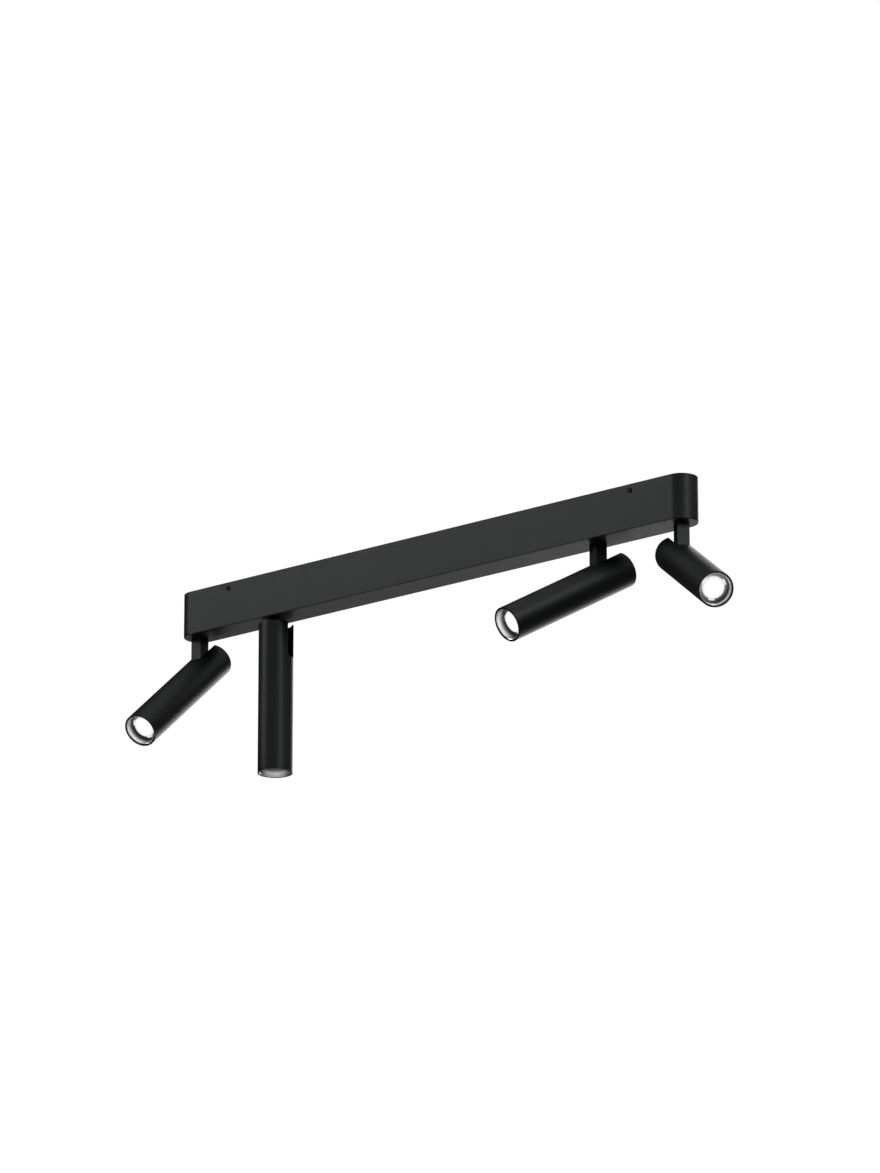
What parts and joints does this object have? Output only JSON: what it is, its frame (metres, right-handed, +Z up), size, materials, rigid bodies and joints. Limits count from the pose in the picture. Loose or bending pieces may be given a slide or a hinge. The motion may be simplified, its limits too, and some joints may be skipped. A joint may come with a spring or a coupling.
{
  "type": "track lighting fixture",
  "caption": "Long box canopy with round ends, fixed flat to a ceiling, with slim tubular spot heads on square arms that swivel and tilt.",
  "frame": {"origin": "middle of the bar on the ceiling plane, half way between the two ceiling screw slots", "axes": "+X along the bar, +Y across it, +Z up into the ceiling"},
  "size_m": [0.7899, 0.1607, 0.2255],
  "materials": {
    "black_powder_coat": "matt to satin black powder coat",
    "black_screw": "black zinc socket screw",
    "zinc_steel": "zinc plated steel",
    "dark_steel": "blackened steel",
    "brass": "plain brass",
    "raw_aluminium": "extruded aluminium",
    "bright_aluminium": "turned bright aluminium",
    "black_rubber": "moulded rubber",
    "black_plastic": "matt moulded plastic",
    "white_plastic": "matt moulded plastic",
    "fibre_washer": "pressed fibre",
    "brown_insulation": "smooth wire insulation",
    "red_insulation": "smooth wire insulation",
    "led_board": "white solder mask with a phosphor disc",
    "lens": "frosted white optic"
  },
  "bodies": {
    "root": {"canopy_shell": "black_powder_coat", "ceiling_plate": "zinc_steel", "shell_screws": "black_screw", "cable_grommet": "black_rubber", "earth_stud": "brass", "led_driver": "white_plastic", "driver_screws": "zinc_steel", "terminal_block": "white_plastic", "terminal_screws": "zinc_steel", "wire_clips": "white_plastic", "mains_leads": "brown_insulation", "lamp_leads": "red_insulation", "swivel_bushes": "black_plastic"},
    "arm_1": {"arm_1": "black_powder_coat", "nipple_1": "zinc_steel", "swivel_nut_1": "zinc_steel"},
    "head_1": {"tube_1": "black_powder_coat", "heat_sink_1": "raw_aluminium", "tilt_bolt_1": "dark_steel", "tilt_washers_1": "fibre_washer", "led_board_1": "led_board", "lens_holder_1": "raw_aluminium", "lens_1": "lens", "trim_ring_1": "bright_aluminium"},
    "arm_2": {"arm_2": "black_powder_coat", "nipple_2": "zinc_steel", "swivel_nut_2": "zinc_steel"},
    "head_2": {"tube_2": "black_powder_coat", "heat_sink_2": "raw_aluminium", "tilt_bolt_2": "dark_steel", "tilt_washers_2": "fibre_washer", "led_board_2": "led_board", "lens_holder_2": "raw_aluminium", "lens_2": "lens", "trim_ring_2": "bright_aluminium"},
    "arm_3": {"arm_3": "black_powder_coat", "nipple_3": "zinc_steel", "swivel_nut_3": "zinc_steel"},
    "head_3": {"tube_3": "black_powder_coat", "heat_sink_3": "raw_aluminium", "tilt_bolt_3": "dark_steel", "tilt_washers_3": "fibre_washer", "led_board_3": "led_board", "lens_holder_3": "raw_aluminium", "lens_3": "lens", "trim_ring_3": "bright_aluminium"},
    "arm_4": {"arm_4": "black_powder_coat", "nipple_4": "zinc_steel", "swivel_nut_4": "zinc_steel"},
    "head_4": {"tube_4": "black_powder_coat", "heat_sink_4": "raw_aluminium", "tilt_bolt_4": "dark_steel", "tilt_washers_4": "fibre_washer", "led_board_4": "led_board", "lens_holder_4": "raw_aluminium", "lens_4": "lens", "trim_ring_4": "bright_aluminium"}
  },
  "joints": [
    {"name": "swivel_1", "type": "hinge", "parent": "root", "child": "arm_1", "pos_m": [-0.332, 0, -0.05], "axis": [0, 0, 1], "range_deg": [-240.5, 59.5]},
    {"name": "tilt_1", "type": "hinge", "parent": "arm_1", "child": "head_1", "pos_m": [-0.332, 0, -0.093], "axis": [-1, -0.0087, 0], "range_deg": [-49, 16]},
    {"name": "swivel_2", "type": "hinge", "parent": "root", "child": "arm_2", "pos_m": [-0.222, 0, -0.05], "axis": [0, 0, 1], "range_deg": [-165, 135]},
    {"name": "tilt_2", "type": "hinge", "parent": "arm_2", "child": "head_2", "pos_m": [-0.222, 0, -0.093], "axis": [0.2588, -0.9659, 0], "range_deg": [0, 65]},
    {"name": "swivel_3", "type": "hinge", "parent": "root", "child": "arm_3", "pos_m": [0.222, 0, -0.05], "axis": [0, 0, 1], "range_deg": [-220, 80]},
    {"name": "tilt_3", "type": "hinge", "parent": "arm_3", "child": "head_3", "pos_m": [0.222, 0, -0.093], "axis": [-0.9397, 0.342, 0], "range_deg": [-60, 5]},
    {"name": "swivel_4", "type": "hinge", "parent": "root", "child": "arm_4", "pos_m": [0.332, 0, -0.05], "axis": [0, 0, 1], "range_deg": [-113.5, 186.5]},
    {"name": "tilt_4", "type": "hinge", "parent": "arm_4", "child": "head_4", "pos_m": [0.332, 0, -0.093], "axis": [-0.5948, -0.8039, 0], "range_deg": [-60.5, 4.5]}
  ]
}
